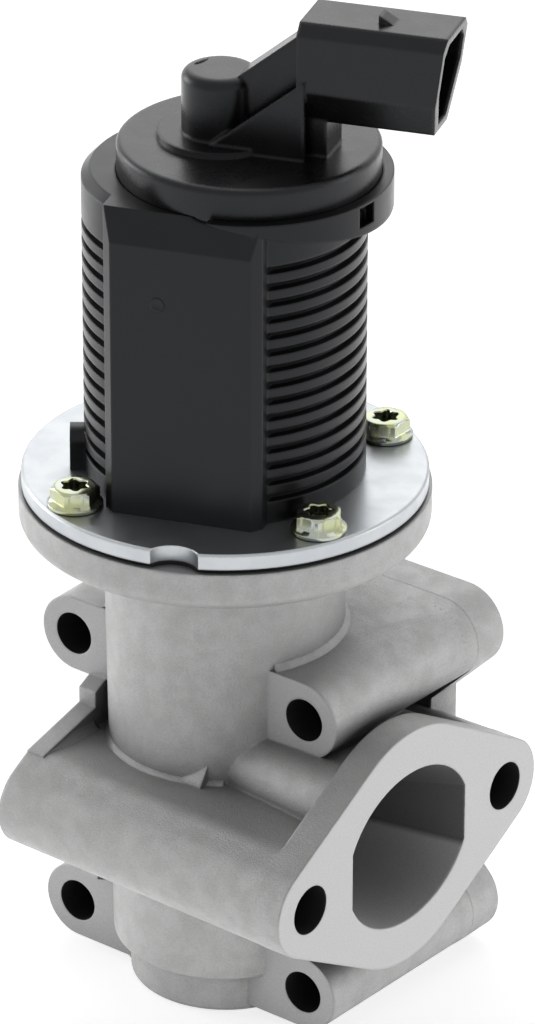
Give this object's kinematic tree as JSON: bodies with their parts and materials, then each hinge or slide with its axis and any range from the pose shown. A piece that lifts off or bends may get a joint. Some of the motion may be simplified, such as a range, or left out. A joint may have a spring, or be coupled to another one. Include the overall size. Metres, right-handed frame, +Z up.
{
  "type": "egr valve",
  "caption": "Solenoid exhaust gas recirculation valve: cast body with a side port and rear windows, finned coil housing, sensor tower and plug socket.",
  "frame": {"origin": "on the valve axis, level with the centre of the four long bolt holes", "axes": "+Z up the valve axis towards the sensor cover, +X the outward normal of the two-bolt side port, +Y the outward normal of the rear mounting face"},
  "size_m": [0.0826, 0.0789, 0.2019],
  "materials": {
    "cast_aluminium": "fine sand-like die cast skin",
    "turned_steel": "turned",
    "seat_steel": "ground heat-resistant steel",
    "sintered_iron": "sintered, oil dark",
    "seal_rubber": "matt",
    "spring_steel": "drawn wire",
    "gasket_sheet": "dark coated sheet",
    "zinc_plate": "bright zinc plated",
    "zinc_screws": "yellow passivated zinc",
    "magnet_iron": "soft iron, bright",
    "bobbin_plastic": "natural glass filled",
    "copper_winding": "enamelled copper wire",
    "black_moulding": "satin black, glass filled",
    "black_cover": "satin black",
    "track_card": "printed card",
    "tinned_brass": "tinned"
  },
  "bodies": {
    "housing": {"valve_body": "cast_aluminium", "bottom_plug": "turned_steel", "upper_seat": "seat_steel", "lower_seat": "seat_steel", "stem_guide": "sintered_iron", "deposit_shield": "seat_steel", "stem_seal": "seal_rubber", "seal_cap": "turned_steel", "spring_washer": "turned_steel", "return_spring": "spring_steel", "plate_gasket": "gasket_sheet", "mounting_plate": "zinc_plate", "plate_screws": "zinc_screws", "pole_core": "magnet_iron", "guide_tube": "turned_steel", "coil_bobbin": "bobbin_plastic", "coil_winding": "copper_winding", "yoke_can": "magnet_iron", "flux_plate": "magnet_iron", "solenoid_shell": "black_moulding", "sensor_cover": "black_cover", "cover_seal": "seal_rubber", "sensor_track": "track_card", "terminal_pins": "tinned_brass", "sensor_spring": "spring_steel"},
    "valve": {"valve_stem": "seat_steel", "upper_disc": "seat_steel", "lower_disc": "seat_steel", "spring_retainer": "turned_steel", "armature": "magnet_iron"},
    "sensor_slider": {"sensor_plunger": "bobbin_plastic", "sensor_wiper": "tinned_brass"}
  },
  "joints": [
    {"name": "valve_lift", "type": "slide", "parent": "housing", "child": "valve", "axis": [0, 0, -1], "range_m": [0, 0.0055], "stiffness_N_per_m": 3000, "springref_m": -0.006, "deforming": ["return_spring"]},
    {"name": "sensor_slide", "type": "slide", "parent": "housing", "child": "sensor_slider", "axis": [0, 0, -1], "range_m": [0, 0.0055], "stiffness_N_per_m": 200, "springref_m": 0.012, "deforming": ["sensor_spring"]}
  ],
  "couplings": [
    {"joint": "sensor_slide", "follows": "valve_lift", "ratio": 1}
  ]
}
